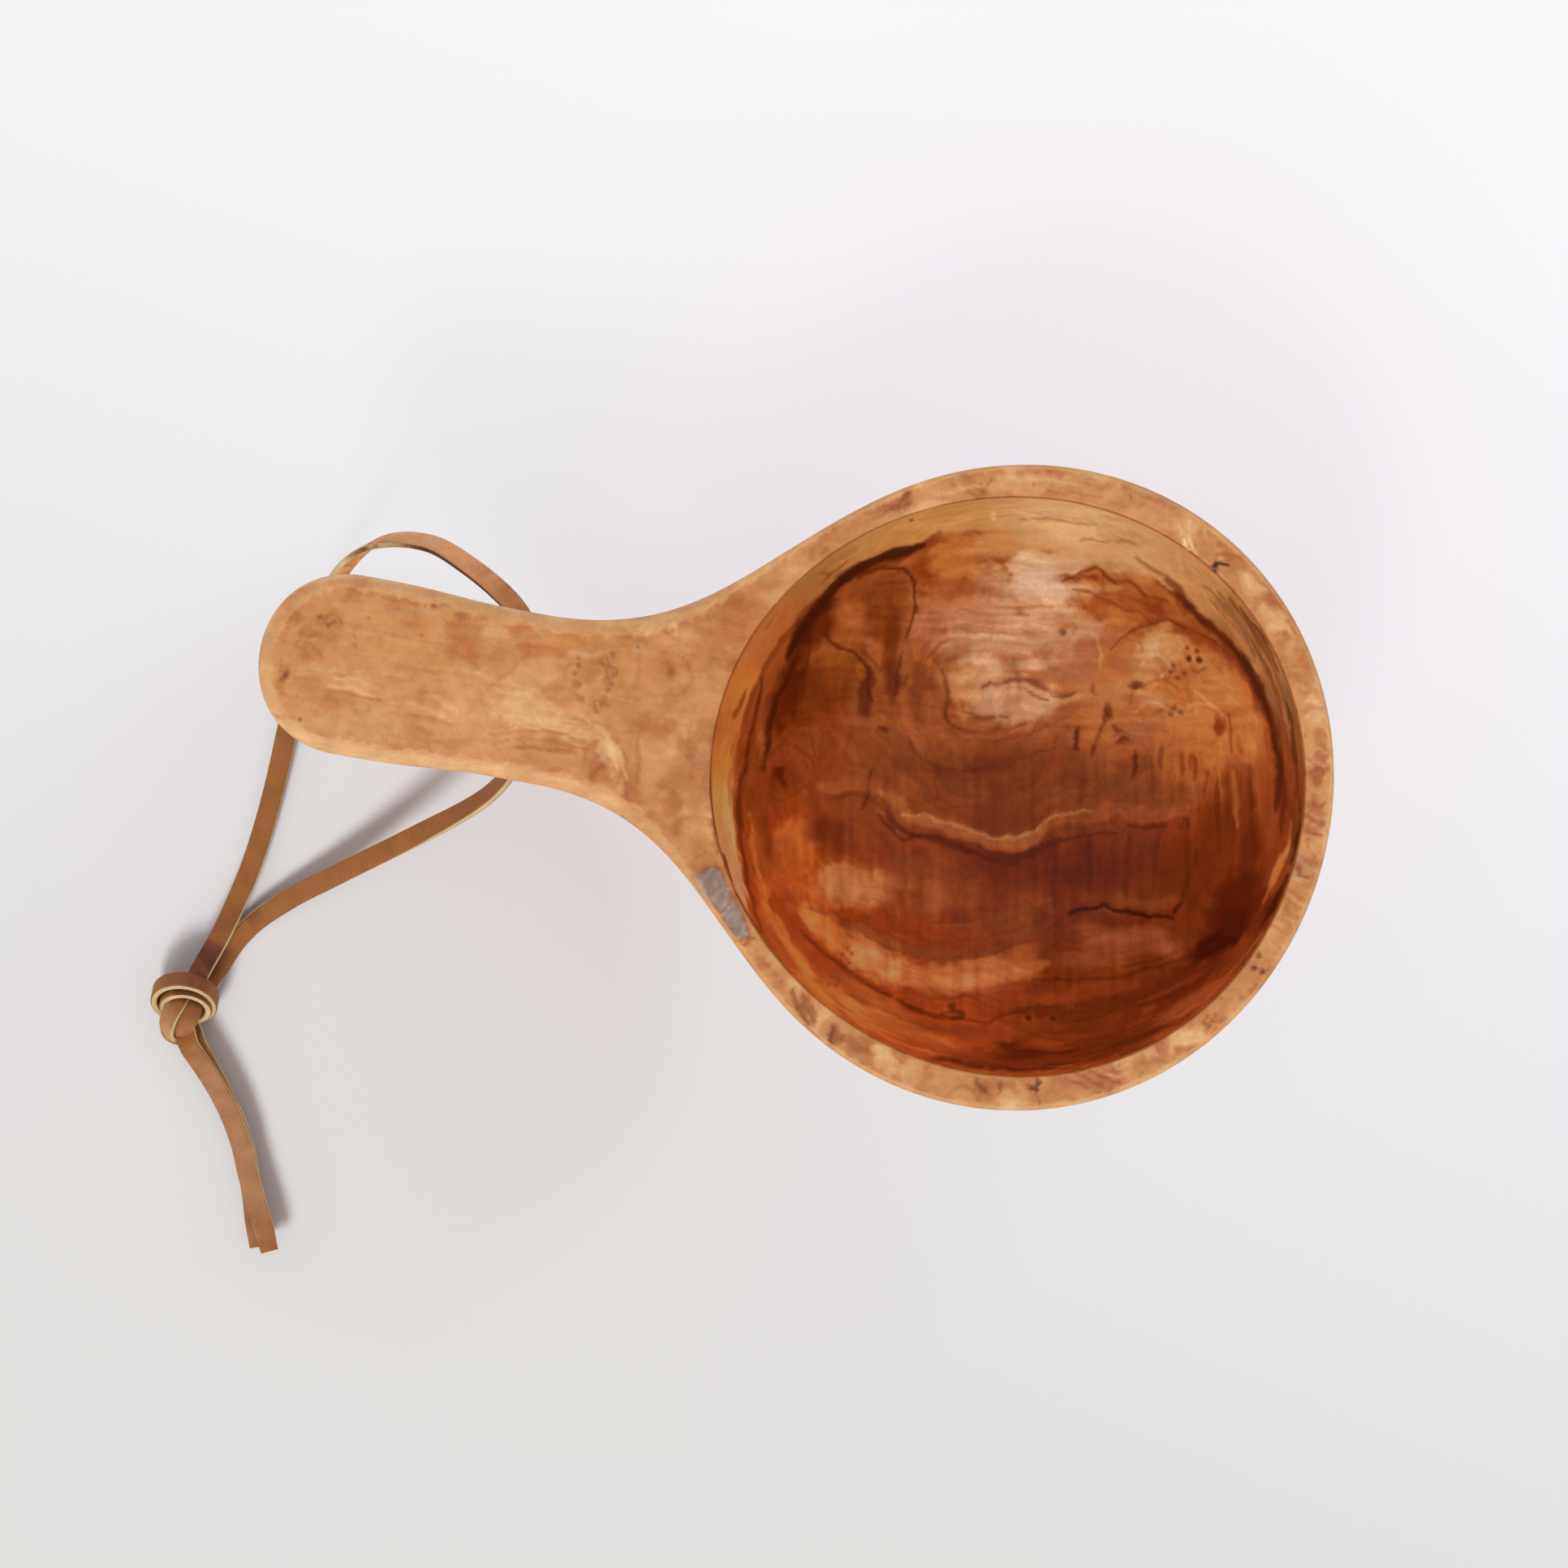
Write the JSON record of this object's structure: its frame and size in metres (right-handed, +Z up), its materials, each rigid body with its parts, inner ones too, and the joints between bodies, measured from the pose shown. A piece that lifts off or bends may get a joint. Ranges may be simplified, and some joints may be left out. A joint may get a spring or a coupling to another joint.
{
  "type": "kuksa drinking cup",
  "caption": "Carved wooden drinking cup: round bowl, flat handle level with the rim, finger hole through it and a leather carrying lace.",
  "frame": {"origin": "centre of the flat foot that the cup rests on", "axes": "+Z up out of the bowl, handle along -X, finger hole along Y; the lace's knot lies on the -Y side"},
  "size_m": [0.1835, 0.1509, 0.055],
  "materials": {
    "burl_wood": "oiled satin",
    "leather_lace": "matte"
  },
  "bodies": {
    "cup": {"cup": "burl_wood"},
    "lace": {"lace_strand_long": "leather_lace", "lace_strand_short": "leather_lace", "lace_knot": "leather_lace", "lace_tail_front": "leather_lace", "lace_tail_back": "leather_lace"}
  },
  "joints": [
    {"name": "lace_swing", "type": "hinge", "parent": "cup", "child": "lace", "pos_m": [-0.07975, 0, 0.02832], "axis": [0, 1, 0], "range_deg": [-110, 53]}
  ]
}
